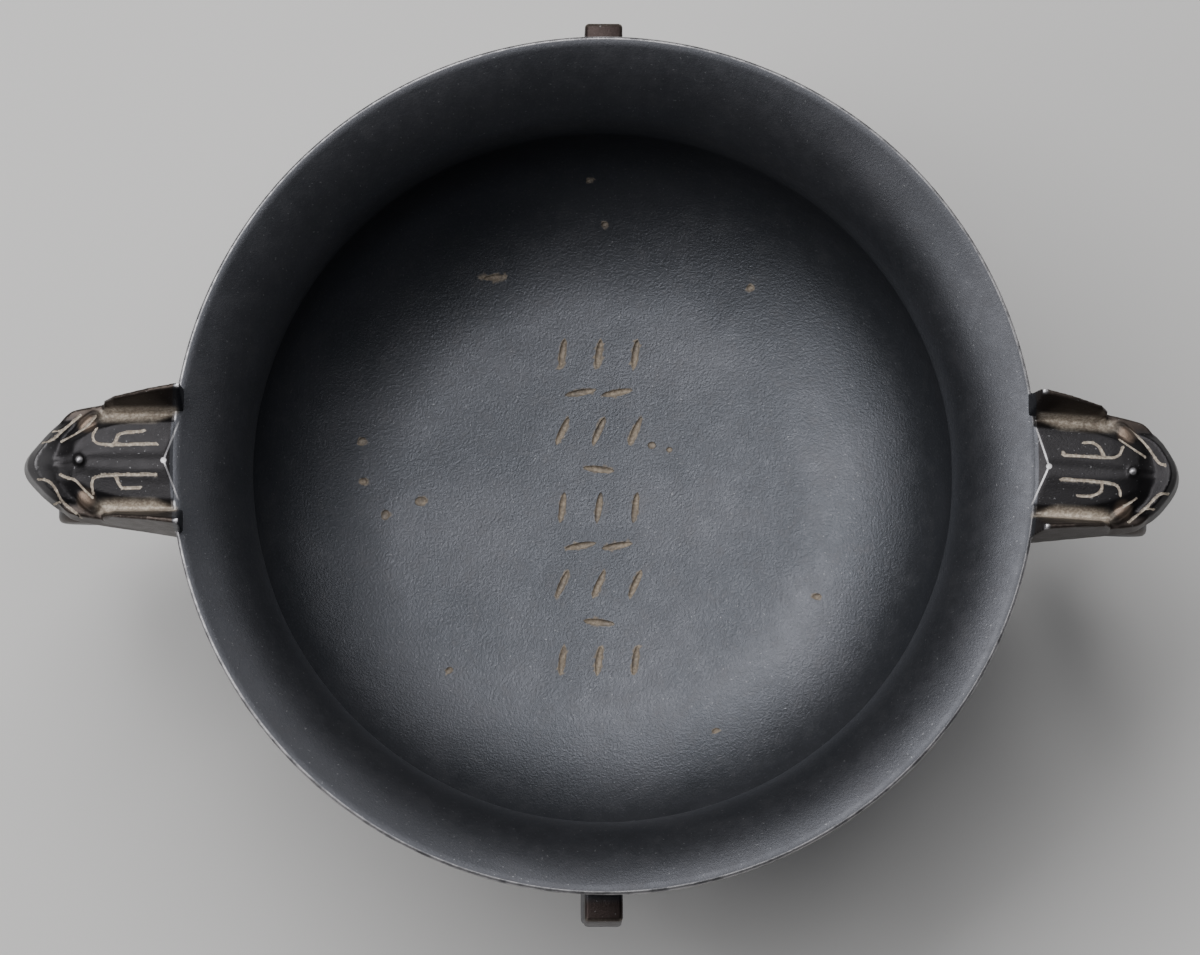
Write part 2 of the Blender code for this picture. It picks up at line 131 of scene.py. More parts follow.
HANDLE_TURNS = {"right": math.radians(-3.5), "left": math.radians(180)}
HANDLE_ROOTS = {"right": (RIM_RADIUS, -0.0006), "left": (-RIM_RADIUS + 0.0007, 0)}
CROWN_DROPS = {"right": 0.0, "left": 0.0002}
NOSE_START = 0.0920
NOSE_PINCHES = {"right": 0.15, "left": 0.35}
NOSE_SHIFTS = {"right": 0.0, "left": 0.0006}
NOSE_DRAWS = {"right": 0.0012, "left": 0.0}

# Carved lines on each head, as (distance from the bowl's axis, distance across) in millimetres.
CARVED_LINES = {
    "left": (
        ((88.5, 5.6), (89.2, 4.4), (88.9, 3.2), (87.6, 2.7), (84.0, 2.7), (78.1, 2.9)),
        ((85.4, 2.9), (84.8, 4.3), (84.0, 4.8), (80.3, 5.1)),
        ((89.0, -5.8), (89.3, -3.8), (88.5, -2.8), (84.0, -2.5), (78.1, -2.5)),
        ((85.2, -2.8), (84.4, -4.5), (83.9, -4.9), (80.9, -4.8)),
        ((98.0, 3.2), (96.2, 3.6), (94.3, 5.6), (91.4, 8.3)),
        ((96.2, 5.3), (94.5, 5.4)),
        ((98.6, -3.2), (96.8, -3.4), (95.6, -4.6), (94.6, -6.8), (91.2, -9.6)),
        ((96.0, -7.0), (94.8, -7.0)),
        ((94.6, 3.5), (93.2, 4.2), (91.8, 4.9), (90.0, 6.2), (88.7, 7.9)),
        ((94.8, -2.3), (93.5, -3.0), (92.2, -3.3), (90.9, -4.7), (89.1, -6.4)),
    ),
    "right": (
        ((79.3, 2.1), (83.4, 2.1), (86.8, 2.1), (88.3, 2.3), (89.1, 3.0), (89.5, 4.2)),
        ((86.4, 2.2), (85.9, 3.2), (85.2, 4.2), (84.0, 4.7), (82.6, 4.5)),
        ((79.2, -2.1), (84.5, -2.1), (87.5, -2.3), (88.8, -2.6), (89.4, -3.5), (89.5, -4.4)),
        ((86.2, -2.4), (86.2, -3.4), (85.5, -4.3), (84.2, -4.8), (82.2, -4.8)),
        ((90.7, 7.8), (92.1, 6.7), (93.7, 5.2), (94.9, 3.6), (95.9, 2.0), (97.1, 1.6)),
        ((98.0, -3.2), (96.4, -3.4), (95.6, -4.2), (94.1, -6.0), (92.5, -7.4), (91.4, -8.5)),
        ((94.3, -6.0), (95.7, -6.0)),
        ((88.9, 5.5), (91.8, 3.8), (93.6, 2.9)),
        ((90.3, -6.0), (92.4, -4.4)),
    ),
}
CARVED_LINE_RADIUS = 0.00029
CARVED_LINE_LIFT = 0.00018
CARVED_LINE_STEP = 0.00035
CARVED_LINE_REACH = 0.008
RAY_START = 0.11

# The V in which the rim's slope meets each head: its tip, and how its sides run
V_TIP = 0.0769
V_RUN = 0.9344
V_REACH = 0.3559

# Short strokes on the floor: three to a row, two, three and one.
STROKE_ROWS = 9
STROKE_ROW_PITCH = 0.0070
STROKE_PITCH = 0.0066
STROKE_LENGTH = 0.0058
STROKE_WIDTH = 0.00125
STROKE_DEPTH = 0.0006
STROKE_COUNTS = (3, 2, 3, 1)
STROKE_TURNS = (82, 10, 66, -6)

# Pits in the bowl: across, along, half sizes and turn in degrees, lengths in millimetres.
PITS = (
    (-42.9, 11.5, 1.0, 0.8, 20), (-42.6, 4.3, 0.8, 0.7, 0), (-38.6, -1.7, 1.0, 0.8, 70),
    (-32.2, 0.9, 1.2, 0.9, 10), (-19.0, 41.6, 3.0, 0.55, 3), (1.0, 51.0, 0.7, 0.6, 0),
    (-1.8, 58.0, 0.9, 0.5, 30), (27.4, 39.6, 0.8, 0.6, 0), (39.3, -16.5, 0.9, 0.6, 0),
    (9.6, 11.4, 0.8, 0.7, 0), (12.8, 10.6, 0.6, 0.5, 0), (-27.0, -30.0, 0.8, 0.6, 40),
    (21.0, -41.0, 0.8, 0.5, 15),
)
PIT_DEPTH = 0.0004


def blend(start, end, share):
    return start + (end - start) * share


def eased(value, low, high):
    share = min(max((value - low) / (high - low), 0), 1)
    return share * share * (3 - 2 * share)


def arc(centre, radii, start, end, steps):
    angles = [blend(start, end, step / steps) for step in range(steps + 1)]
    return [(centre[0] + radii[0] * math.cos(a), centre[1] + radii[1] * math.sin(a)) for a in angles]


def flare(neck_radius, rim_radius, low, high, steps):
    across = (rim_radius - neck_radius) / (1 - math.cos(FLARE_TURN))
    up = (high - low) / math.sin(FLARE_TURN)
    return arc((neck_radius + across, low), (across, up), math.pi, math.pi - FLARE_TURN, steps)


def sway(from_radius, to_radius, low, high, steps):
    points = []
    for step in range(steps + 1):
        share = step / steps
        swing = (1 - math.cos(math.pi * share)) / 2
        points.append((blend(from_radius, to_radius, swing), blend(low, high, share)))
    return points


def floor_turn():
    """The ellipse from the wall down to the floor's edge: its middle, reach, depth and start."""
    slope = math.atan(2 * FLOOR_RISE / FLOOR_RADIUS)
    reach = (BELLY_RADIUS - FLOOR_RADIUS) / (1 - math.sin(slope))
    depth = (BELLY_HEIGHT - FLOOR_HEIGHT - FLOOR_RISE) / math.cos(slope)
    return BELLY_RADIUS - reach, reach, depth, slope


def floor_height(radius):
    """The height of the bowl's inside, a shallow dish that turns up into the wall."""
    if radius < FLOOR_RADIUS:
        return FLOOR_HEIGHT + FLOOR_RISE * (radius / FLOOR_RADIUS) ** 2
    middle, reach, depth, slope = floor_turn()
    return BELLY_HEIGHT - depth * math.sqrt(1 - ((radius - middle) / reach) ** 2)


def inside_profile():
    """From the edge of the floor up the wall and the flare to the lip."""
    middle, reach, depth, slope = floor_turn()
    rounded = arc((middle, BELLY_HEIGHT), (reach, depth), slope - math.pi / 2, 0, 30)
    neck_in = sway(BELLY_RADIUS, NECK_RADIUS, BELLY_HEIGHT, NECK_HEIGHT, 13)
    rim = flare(NECK_RADIUS, RIM_RADIUS - LIP_ROUNDING, NECK_HEIGHT, RIM_HEIGHT, 18)
    return [*rounded, *neck_in[1:], *rim[1:]]


def raised_line(radius, height):
    half = LINE_WIDTH / 2
    return [
        (radius, height + half * 1.4), (radius + LINE_HEIGHT * 0.3, height + half * 0.9),
        (radius + LINE_HEIGHT * 0.85, height + half * 0.45), (radius + LINE_HEIGHT, height),
        (radius + LINE_HEIGHT * 0.85, height - half * 0.45),
        (radius + LINE_HEIGHT * 0.3, height - half * 0.9), (radius, height - half * 1.4),
    ]


def outside_profile():
    """From the lip down the wall and the foot ring, and back up under the floor."""
    lip = arc(
        (RIM_RADIUS - LIP_ROUNDING, RIM_HEIGHT - LIP_ROUNDING), (LIP_ROUNDING, LIP_ROUNDING),
        math.pi / 3, 0, 3,
    )
    lip += [(RIM_RADIUS, RIM_HEIGHT - LIP_EDGE_DROP), (RIM_RADIUS - LIP_UNDERCUT, RIM_HEIGHT - LIP_HEIGHT)]
    under_lip = flare(
        NECK_RADIUS + WALL, RIM_RADIUS - LIP_HEIGHT, NECK_HEIGHT, RIM_HEIGHT - LIP_HEIGHT - WALL / 2, 12,
    )
    above = [point for point in reversed(under_lip) if point[1] > UPPER_LINE + LINE_WIDTH]
    line_radius = NECK_RADIUS + WALL + LINE_HEIGHT / 2
    neck_out = sway(BELLY_RADIUS + WALL, NECK_RADIUS + WALL, BELLY_HEIGHT, NECK_HEIGHT, 12)
    below = [point for point in reversed(neck_out) if point[1] < LOWER_LINE - LINE_WIDTH]
    rounded = arc(
        (FOOT_WAIST_RADIUS, BELLY_HEIGHT),
        (BELLY_RADIUS + WALL - FOOT_WAIST_RADIUS, BELLY_HEIGHT - FOOT_HEIGHT),
        0, -math.pi / 2, 18,
    )
    foot = sway(FOOT_RADIUS - FOOT_BAND_STEP, FOOT_WAIST_RADIUS, FOOT_BAND_HEIGHT, FOOT_HEIGHT, 9)
    band = [
        (FOOT_RADIUS - FOOT_BAND_EDGE, FOOT_BAND_HEIGHT), (FOOT_RADIUS, FOOT_BAND_HEIGHT - FOOT_EDGE),
        (FOOT_RADIUS, FOOT_EDGE), (FOOT_RADIUS - FOOT_EDGE, 0),
    ]
    hollow = [
        (FOOT_RADIUS - FOOT_WALL + FOOT_EDGE, 0), (FOOT_RADIUS - FOOT_WALL, FOOT_EDGE), *HOLLOW_WALL,
        (FOOT_WAIST_RADIUS - FOOT_WALL, FOOT_HEIGHT - HOLLOW_SHOULDER), HOLLOW_TURN,
        (FOOT_WAIST_RADIUS - 2 * FOOT_WALL, FOOT_HEIGHT), (HOLLOW_FLAT_RADIUS, FOOT_HEIGHT),
    ]
    return [
        *lip, *above, *raised_line(line_radius, UPPER_LINE), *raised_line(line_radius, LOWER_LINE),
        *below, *rounded[1:], *list(reversed(foot))[1:], *band, *hollow,
    ]


def begin():
    if bpy.context.mode != "OBJECT":
        bpy.ops.object.mode_set(mode="OBJECT")
    bpy.ops.object.select_all(action="DESELECT")


def pick(thing):
    begin()
    thing.select_set(True)
    bpy.context.view_layer.objects.active = thing


def named(name):
    """The newest primitive, back in object mode, with its place in its mesh."""
    if bpy.context.mode != "OBJECT":
        bpy.ops.object.mode_set(mode="OBJECT")
    thing = bpy.context.active_object
    thing.name = name
    thing.data.name = name
    bpy.ops.object.transform_apply(location=True, rotation=True, scale=True)
    return thing


def with_modifier(thing, kind, **settings):
    pick(thing)
    modifier = thing.modifiers.new(kind.lower(), kind)
    for key, value in settings.items():
        setattr(modifier, key, value)
    bpy.ops.object.modifier_apply(modifier=modifier.name)
    return thing


def joined(name, things):
    pick(things[0])
    for thing in things[1:]:
        thing.select_set(True)
    bpy.ops.object.join()
    return named(name)


def added(thing, other):
    with_modifier(thing, "BOOLEAN", operation="UNION", solver="EXACT", object=other)
    bpy.data.objects.remove(other)


def cut(thing, other, keep=False):
    with_modifier(thing, "BOOLEAN", operation="DIFFERENCE", solver="EXACT", object=other)
    if not keep:
        bpy.data.objects.remove(other)


def draw_round(name, profile, steps):
    """A body of revolution: a circle extruded, resized and lifted from ring to ring."""
    begin()
    radius, height = profile[0]
    bpy.ops.mesh.primitive_circle_add(vertices=steps, radius=radius, location=(0, 0, height))
    bpy.ops.object.mode_set(mode="EDIT")
    bpy.ops.mesh.select_mode(type="EDGE")
    bpy.ops.mesh.select_all(action="SELECT")
    for (r0, z0), (r1, z1) in zip(profile, profile[1:]):
        bpy.ops.mesh.extrude_edges_move(TRANSFORM_OT_translate={"value": (0, 0, z1 - z0)})
        bpy.ops.transform.resize(value=(r1 / r0, r1 / r0, 1), center_override=(0, 0, 0))


def close_round(steps):
    """Fills the open ring that is selected, and then the one that is left, with even grids."""
    bpy.ops.mesh.fill_grid(span=steps // 4)
    bpy.ops.mesh.select_all(action="DESELECT")
    bpy.ops.mesh.select_non_manifold()
    bpy.ops.mesh.fill_grid(span=steps // 4)
    bpy.ops.mesh.select_all(action="SELECT")
    bpy.ops.mesh.normals_make_consistent(inside=False)


def draw_bowl():
    profile = [*inside_profile(), *outside_profile()]
    draw_round("bowl", profile, TURN_STEPS)
    close_round(TURN_STEPS)
    bowl = named("bowl")
    for vert in bowl.data.vertices:
        radius = math.hypot(vert.co.x, vert.co.y)
        if radius < FLOOR_RADIUS - MM / 100 and vert.co.z > FOOT_HEIGHT + MM:
            vert.co.z = floor_height(radius)
    return bowl


def lofted(name, rings):
    """A form drawn from a loop that is extruded and reshaped from ring to ring."""
    begin()
    bpy.ops.mesh.primitive_circle_add(vertices=len(rings[0]), radius=RIM_RADIUS)
    thing = bpy.context.active_object
    bpy.ops.object.mode_set(mode="EDIT")
    bpy.ops.mesh.select_mode(type="EDGE")
    bpy.ops.mesh.select_all(action="SELECT")
    mesh = bmesh.from_edit_mesh(thing.data)
    mesh.verts.ensure_lookup_table()
    for vert, point in zip(mesh.verts, rings[0]):
        vert.co = point
    for near, far in zip(rings, rings[1:]):
        bpy.ops.mesh.extrude_edges_move()
        mesh = bmesh.from_edit_mesh(thing.data)
        for vert in [vert for vert in mesh.verts if vert.select]:
            nearest = min(range(len(near)), key=lambda index: (Vector(near[index]) - vert.co).length_squared)
            vert.co = far[nearest]
        bmesh.update_edit_mesh(thing.data)
    bpy.ops.mesh.select_all(action="SELECT")
    bpy.ops.mesh.fill_holes(sides=0)
    bpy.ops.mesh.quads_convert_to_tris(quad_method="FIXED")
    bpy.ops.mesh.select_all(action="SELECT")
    bpy.ops.mesh.normals_make_consistent(inside=False)
    return named(name)


def plate(name, outline, width, edge):
    """An outline in the X-Z plane, thickened to both sides, with rounded edges."""
    near = [(x, -width / 2, z) for x, z in outline]
    begin()
    bpy.ops.mesh.primitive_circle_add(vertices=len(outline), radius=RIM_RADIUS)
    thing = bpy.context.active_object
    bpy.ops.object.mode_set(mode="EDIT")
    bpy.ops.mesh.select_mode(type="EDGE")
    bpy.ops.mesh.select_all(action="SELECT")
    mesh = bmesh.from_edit_mesh(thing.data)
    for vert, point in zip(mesh.verts, near):
        vert.co = point
    bpy.ops.mesh.extrude_edges_move(TRANSFORM_OT_translate={"value": (0, width, 0)})
    bpy.ops.mesh.select_all(action="SELECT")
    bpy.ops.mesh.fill_holes(sides=0)
    bpy.ops.mesh.select_all(action="SELECT")
    bpy.ops.mesh.normals_make_consistent(inside=False)
    thing = named(name)
    return with_modifier(thing, "BEVEL", width=edge, segments=3, limit_method="ANGLE")


def ball(name, centre, radii, turn, steps=20):
    begin()
    bpy.ops.mesh.primitive_uv_sphere_add(segments=steps, ring_count=steps // 2, radius=1, location=centre)
    bpy.ops.transform.resize(value=radii)
    bpy.context.active_object.rotation_euler.z = turn
    return named(name)


HEAD_PLACES = (
    (0.05, 0.052, 0.55, 0.98, 0.14, -0.95),
    (0.34, 0.055, 0.53, 0.90, 0.15, -0.95),
    (0.53, 0.058, 0.43, 0.84, 0.17, -0.88),
    (0.65, 0.045, 0.28, 0.79, 0.17, -0.80),
    (0.71, -0.03, 0.28, 0.76, 0.11, -0.76),
    (0.78, -0.08, 0.26, 0.64, 0.07, -0.72),
    (0.90, -0.07, 0.14, 0.30, 0.04, -0.66),
)


def softened(points):
    """The points with the corner at each of them cut, and both ends kept."""
    soft = [points[0]]
    for near, far in zip(points, points[1:]):
        soft += [tuple(blend(a, b, share) for a, b in zip(near, far)) for share in (0.25, 0.75)]
    return [*soft, points[-1]]


def head_ring(along, crown, brow, cheek, dip, jaw):
    """One section across the head, whose crown has a shallow furrow along its middle."""
    crown, dip, jaw, fall = (share * HEAD_DEPTH for share in (crown, dip, jaw, BROW_FALL))
    brow, cheek = brow * HEAD_HALF_WIDTH, cheek * HEAD_HALF_WIDTH
    side = [
        (brow * 0.22, crown - fall * 0.1), (brow * 0.6, crown - fall * 0.6), (brow, crown - fall),
        ((brow + cheek) / 2, crown - fall - dip), (cheek * 0.94, crown - fall - dip),
        (cheek, blend(crown - fall - dip, jaw, 0.4)), (cheek * 0.86, jaw),
    ]
    half = [(0, crown - CROWN_FURROW), *side, (0, jaw)]
    other = [(-across, height) for across, height in reversed(side)]
    return [Vector((along, across, RIM_HEIGHT + height)) for across, height in [*half, *other]]


def head_body():
    rings = [head_ring(NECK_RADIUS, *HEAD_PLACES[0][1:])]
    rings += [head_ring(RIM_RADIUS + place[0] * HEAD_LENGTH, *place[1:]) for place in softened(HEAD_PLACES)]
    return lofted("head", rings)


def head_lip():
    """The upturned lip, a band on edge from one cheek round the nose to the other."""
    nose = RIM_RADIUS + HEAD_LENGTH - LIP_BAND_THICKNESS / 2
    side = [
        (nose - 0.42 * HEAD_LENGTH, 0.54 * HEAD_HALF_WIDTH, -0.42),
        (nose - 0.14 * HEAD_LENGTH, 0.49 * HEAD_HALF_WIDTH, -0.17),
        (nose - 0.03 * HEAD_LENGTH, 0.22 * HEAD_HALF_WIDTH, -0.04),
    ]
    path = [*side, (nose, 0, 0), *[(along, -across, top) for along, across, top in reversed(side)]]
    path = softened(softened(path))
    rings = []
    for index, (along, across, top) in enumerate(path):
        before, after = path[max(index - 1, 0)], path[min(index + 1, len(path) - 1)]
        run = Vector((after[0] - before[0], after[1] - before[1])).normalized()
        out = Vector((-run.y, run.x))
        if out.dot(Vector((along - RIM_RADIUS, across))) < 0:
            out = -out
        high, low = RIM_HEIGHT + top * LIP_BAND_DEPTH, RIM_HEIGHT - LIP_BAND_DEPTH
        corners = (
            (-0.50, high - 0.13 * LIP_BAND_DEPTH), (0.12, high), (0.40, high - 0.20 * LIP_BAND_DEPTH),
            (0.58, low + 0.20 * LIP_BAND_DEPTH), (0.45, low), (-0.50, low),
        )
        rings.append([
            Vector((
                along + out.x * share * LIP_BAND_THICKNESS,
                across + out.y * share * LIP_BAND_THICKNESS,
                height,
            ))
            for share, height in corners
        ])
    return lofted("lip", rings)


def ear_back(side, across_side):
    """How far along its head an ear begins, so that its back stands on the rim's edge."""
    turn = HANDLE_TURNS["right"] if side == "right" else 0
    middle = RIM_RADIUS * math.cos(turn)
    reach = across_side * HEAD_HALF_WIDTH
    chord = math.sqrt(middle ** 2 - reach ** 2 + 2 * RIM_RADIUS * reach * math.sin(turn))
    return RIM_RADIUS - middle - LIP_ROUNDING + chord


def head_ear(side, across_side):
    """An ear whose top corner leans out over the head."""
    foot = -0.55 * HEAD_DEPTH
    inner = HEAD_HALF_WIDTH - EAR_THICKNESS
    back = ear_back(side, across_side)
    rings = []
    for along, rise in ((0, 1), (0.4, 0.86), (0.85, 0.50), (1, 0.06)):
        top = rise * EAR_RISE
        start = back + along * EAR_LENGTH
        outer = HEAD_HALF_WIDTH + EAR_PROUD - along * EAR_TAPER
        corners = (
            (inner, foot), (inner, -0.12 * HEAD_DEPTH), (blend(inner, outer, 0.72), top),
            (blend(inner, outer, 0.92), top), (outer, 0), (outer, foot),
        )
        rings.append([
            Vector((
                start + EAR_LEANS[side] * max(height, 0) / EAR_RISE,
                across_side * across,
                RIM_HEIGHT + height,
            ))
            for across, height in corners
        ])
    return lofted("ear", rings)


def mouth_form():
    """The room inside the bowl, a millimetre into the wall, and above the rim's slope."""
    wall = [(radius + MM, height) for radius, height in inside_profile() if radius < RIM_RADIUS - 3 * MM]
    above = RIM_RADIUS + HEAD_LENGTH
    top = RIM_HEIGHT + HEAD_LENGTH * math.tan(BROW_SLOPE)
    profile = [*wall, (RIM_RADIUS - LIP_ROUNDING, RIM_HEIGHT - 0.00002), (above, top), (0.035, top)]
    draw_round("mouth", profile, 96)
    bpy.ops.mesh.select_all(action="SELECT")
    bpy.ops.mesh.fill_holes(sides=0)
    bpy.ops.mesh.select_all(action="SELECT")
    bpy.ops.mesh.normals_make_consistent(inside=False)
    return named("mouth")


def rounded_section(half_width, half_thick, edge):
    points = []
    for x, z, start in ((1, 1, 0), (-1, 1, 90), (-1, -1, 180), (1, -1, 270)):
        for step in range(4):
            angle = math.radians(start + 30 * step)
            across = x * (half_width - edge) + edge * math.cos(angle)
            points.append((across, z * (half_thick - edge) + edge * math.sin(angle)))
    return points


def outside_radius(height):
    share = min(max((BELLY_HEIGHT - height) / (BELLY_HEIGHT - FOOT_HEIGHT), 0), 1)
    return FOOT_WAIST_RADIUS + (BELLY_RADIUS + WALL - FOOT_WAIST_RADIUS) * math.sqrt(1 - share ** 2)


def strap():
    high, low = STRAP_TOP - STRAP_TOP_BEND, STRAP_LOW + STRAP_LOW_BEND
    upper = arc((STRAP_OUT - STRAP_TOP_BEND, high), (STRAP_TOP_BEND, STRAP_TOP_BEND), math.pi / 2, 0, 12)
    middle = [(STRAP_OUT, blend(high, low, step / 4)) for step in (1, 2, 3)]
    lower = arc((STRAP_OUT - STRAP_LOW_BEND, low), (STRAP_LOW_BEND, STRAP_LOW_BEND), 0, -math.pi / 2, 18)
    path = [
        (RIM_RADIUS + STRAP_THICKNESS, STRAP_TOP), *upper, *middle, *lower,
        (outside_radius(STRAP_LOW) - WALL, STRAP_LOW),
    ]
    rings = []
    for index, (along, height) in enumerate(path):
        before, after = path[max(index - 1, 0)], path[min(index + 1, len(path) - 1)]
        run = Vector((after[0] - before[0], after[1] - before[1])).normalized()
        drop = (path[0][1] - height) / (path[0][1] - path[-1][1])
        half_width = blend(STRAP_WIDTH, STRAP_LOW_WIDTH, drop) / 2
        rings.append([
            Vector((along - run.y * thick, across, height + run.x * thick))
            for across, thick in rounded_section(half_width, STRAP_THICKNESS / 2, STRAP_EDGE)
        ])
    return lofted("strap", rings)


def pendant():
    outer = RIM_RADIUS + LOOP_REACH - STRAP_LOW_BEND * 0.42
    inner = outer - PENDANT_THICKNESS
    top = STRAP_LOW + STRAP_THICKNESS / 2
    low = STRAP_LOW - PENDANT_LENGTH
    hook = PENDANT_THICKNESS * 0.6
    outline = (
        (inner, top), (inner, low + 2 * hook), (inner - hook, low + 2 * hook), (inner - hook, low),
        (outer - hook / 2, low), (outer, low + hook), (outer, top),
    )
    return plate("pendant", outline, PENDANT_WIDTH, PENDANT_EDGE)


def wall_flange():
    middle, low, notch, taper = FLANGE_MIDDLE, FLANGE_LOW, FLANGE_NOTCH, FLANGE_TAPER
    inner = FLANGE_REACH - 2 * notch
    outline = (
        (outside_radius(low) - WALL / 2, low), (FLANGE_REACH - taper - notch, low),
        (FLANGE_REACH - taper, low + 2 * notch), (FLANGE_REACH - notch / 2, middle - notch),
        (inner, middle - notch), (inner, middle), (FLANGE_REACH, middle), (FLANGE_REACH, FLANGE_TOP),
        *FLANGE_BACK,
    )
    return plate("wall flange", outline, FLANGE_WIDTH, FLANGE_EDGE)


def foot_flange():
    reach, top, notch = FOOT_RADIUS + FOOT_FLANGE_REACH, FOOT_HEIGHT - 0.0030, FLANGE_NOTCH
    outline = (
        (FOOT_RADIUS - 0.0024, FOOT_BAND_HEIGHT), (reach, FOOT_BAND_HEIGHT), (reach, top - 2 * notch),
        (reach - notch, top), (FOOT_WAIST_RADIUS - 0.0016, top),
    )
    return plate("foot flange", outline, FLANGE_WIDTH, FLANGE_EDGE)


def turned_to(thing, side):
    """A handle's form turned to its side of the bowl about the rim."""
    turn = Matrix.Rotation(HANDLE_TURNS[side], 4, "Z")
    root = Matrix.Translation((*HANDLE_ROOTS[side], 0))
    thing.matrix_world = root @ turn @ Matrix.Translation((-RIM_RADIUS, 0, 0))
    pick(thing)
    return named(f"{side} {thing.name}")


def on_side(side, along, across, height=0.0):
    """A point given by its distances along and across a head, on its side of the bowl."""
    root = HANDLE_ROOTS[side]
    if side == "left":
        return Vector((root[0] + RIM_RADIUS - along, root[1] + across, height))
    turn = HANDLE_TURNS[side]
    x, y = along - RIM_RADIUS, across
    return Vector((
        root[0] + x * math.cos(turn) - y * math.sin(turn),
        root[1] + x * math.sin(turn) + y * math.cos(turn),
        height,
    ))


def head(side, mouth):
    body = head_body()
    for vert in body.data.vertices:
        if vert.co.z > RIM_HEIGHT:
            vert.co.z = max(vert.co.z - CROWN_DROPS[side], RIM_HEIGHT)
    added(body, head_lip())
    for vert in body.data.vertices:
        share = eased(vert.co.x, NOSE_START, RIM_RADIUS + HEAD_LENGTH)
        vert.co.x -= NOSE_DRAWS[side] * share
        vert.co.y = vert.co.y * (1 - NOSE_PINCHES[side] * share) + NOSE_SHIFTS[side] * share
    body = turned_to(body, side)
    cut(body, mouth, keep=True)
    pieces = [body]
    for across in (1, -1):
        pieces.append(turned_to(head_ear(side, across), side))
        eye = (EYE_ALONG, across * EYE_ACROSS, RIM_HEIGHT - 0.14 * HEAD_DEPTH)
        pieces.append(turned_to(ball("eye", eye, EYE_RADII, -across * EYE_TURN), side))
    boss = (BOSS_ALONG, 0, RIM_HEIGHT + 0.028 * HEAD_DEPTH)
    pieces.append(turned_to(ball("boss", boss, BOSS_RADII, 0), side))
    form = joined(f"{side} head", pieces)
    with_modifier(form, "REMESH", mode="VOXEL", voxel_size=GRAIN_OF_CARVING, adaptivity=0)
    with_modifier(form, "SMOOTH", factor=0.5, iterations=4)
    return form


def closely(points, step):
    """The line through the points, as points at most a step apart."""
    spaced = [points[0]]
    for near, far in zip(points, points[1:]):
        count = max(1, math.ceil((far - near).length / step))
        spaced += [near.lerp(far, number / count) for number in range(1, count + 1)]
    return spaced


def line_points(side, points):
    """The line as closely spaced points, with its corners softened."""
    flat = [on_side(side, along * MM, across * MM) for along, across in points]
    for _ in range(2):
        softer = [flat[0]]
        for near, far in zip(flat, flat[1:]):
            softer += [near.lerp(far, 0.25), near.lerp(far, 0.75)]
        flat = [*softer, flat[-1]]
    return closely(flat, CARVED_LINE_STEP)


def carve_lines(form, side):
    """Fine tubes laid on the head's surface and cut away, which leaves round grooves."""
    surface = BVHTree.FromObject(form, bpy.context.evaluated_depsgraph_get())
    tubes, path = [], []
    for points in CARVED_LINES[side]:
        feet = []
        for point in line_points(side, points):
            hit, normal = surface.ray_cast(Vector((point.x, point.y, RAY_START)), Vector((0, 0, -1)))[:2]
            if hit and hit.z > RIM_HEIGHT - CARVED_LINE_REACH:
                feet.append((hit, normal))
        centres = [hit + normal * CARVED_LINE_LIFT for hit, normal in feet]
        for _ in range(3):
            inner = [(a + b * 2 + c) / 4 for a, b, c in zip(centres, centres[1:], centres[2:])]
            centres = [centres[0], *inner, centres[-1]]
        rings = []
        for index, centre in enumerate(centres):
            run = (centres[min(index + 1, len(centres) - 1)] - centres[max(index - 1, 0)]).normalized()
            aside = run.cross(Vector((0, 0, 1))).normalized()
            lift = aside.cross(run)
            thin = 0.6 if index in (0, len(centres) - 1) else 1.0
            rings.append([
                centre + (aside * math.cos(a) + lift * math.sin(a)) * CARVED_LINE_RADIUS * thin
                for a in [math.radians(45 * corner) for corner in range(8)]
            ])
        tubes.append(lofted("tube", rings))
        path += closely([hit for hit, normal in feet], CARVED_LINE_STEP / 4)
    for tube in tubes:
        cut(form, tube)
    return path


def strokes_and_pits():
    """Lens-shaped cutters: the rows of strokes on the floor, and the casting's pits."""
    cutters, strokes, pits = [], [], []
    for row in range(STROKE_ROWS):
        along = ((STROKE_ROWS - 1) / 2 - row) * STROKE_ROW_PITCH
        count = STROKE_COUNTS[row % len(STROKE_COUNTS)]
        turn = math.radians(STROKE_TURNS[row % len(STROKE_TURNS)])
        for number in range(count):
            across = (number - (count - 1) / 2) * STROKE_PITCH
            centre = Vector((across, along, floor_height(math.hypot(across, along))))
            radii = (STROKE_LENGTH / 2, STROKE_WIDTH / 2, STROKE_DEPTH)
            cutters.append(ball("stroke", centre, radii, turn, 12))
            strokes.append((centre, turn, STROKE_LENGTH / 2, STROKE_WIDTH / 2))
    for across, along, half_long, half_wide, turn in PITS:
        centre = Vector((across * MM, along * MM, floor_height(math.hypot(across, along) * MM)))
        radii = (half_long * MM, half_wide * MM, PIT_DEPTH)
        cutters.append(ball("pit", centre, radii, math.radians(turn), 12))
        pits.append((centre, math.radians(turn), half_long * MM, half_wide * MM))
    return joined("strokes", cutters), strokes, pits


def add_undulation(thing, low, high, scale, strength):
    """The slight unevenness of a casting, kept off the edges that it stands on."""
    group = thing.vertex_groups.new(name="cast")
    for vert in thing.data.vertices:
        weight = eased(vert.co.z, low, low + 0.003) * (1 - eased(vert.co.z, high - 0.0015, high))
        group.add([vert.index], weight, "REPLACE")
    clouds = bpy.data.textures.new("casting", "CLOUDS")
    clouds.noise_scale = scale
    clouds.noise_depth = 2
    with_modifier(
        thing, "DISPLACE", texture=clouds, texture_coords="LOCAL", strength=strength, mid_level=0.5,
        vertex_group="cast",
    )
    thing.vertex_groups.clear()


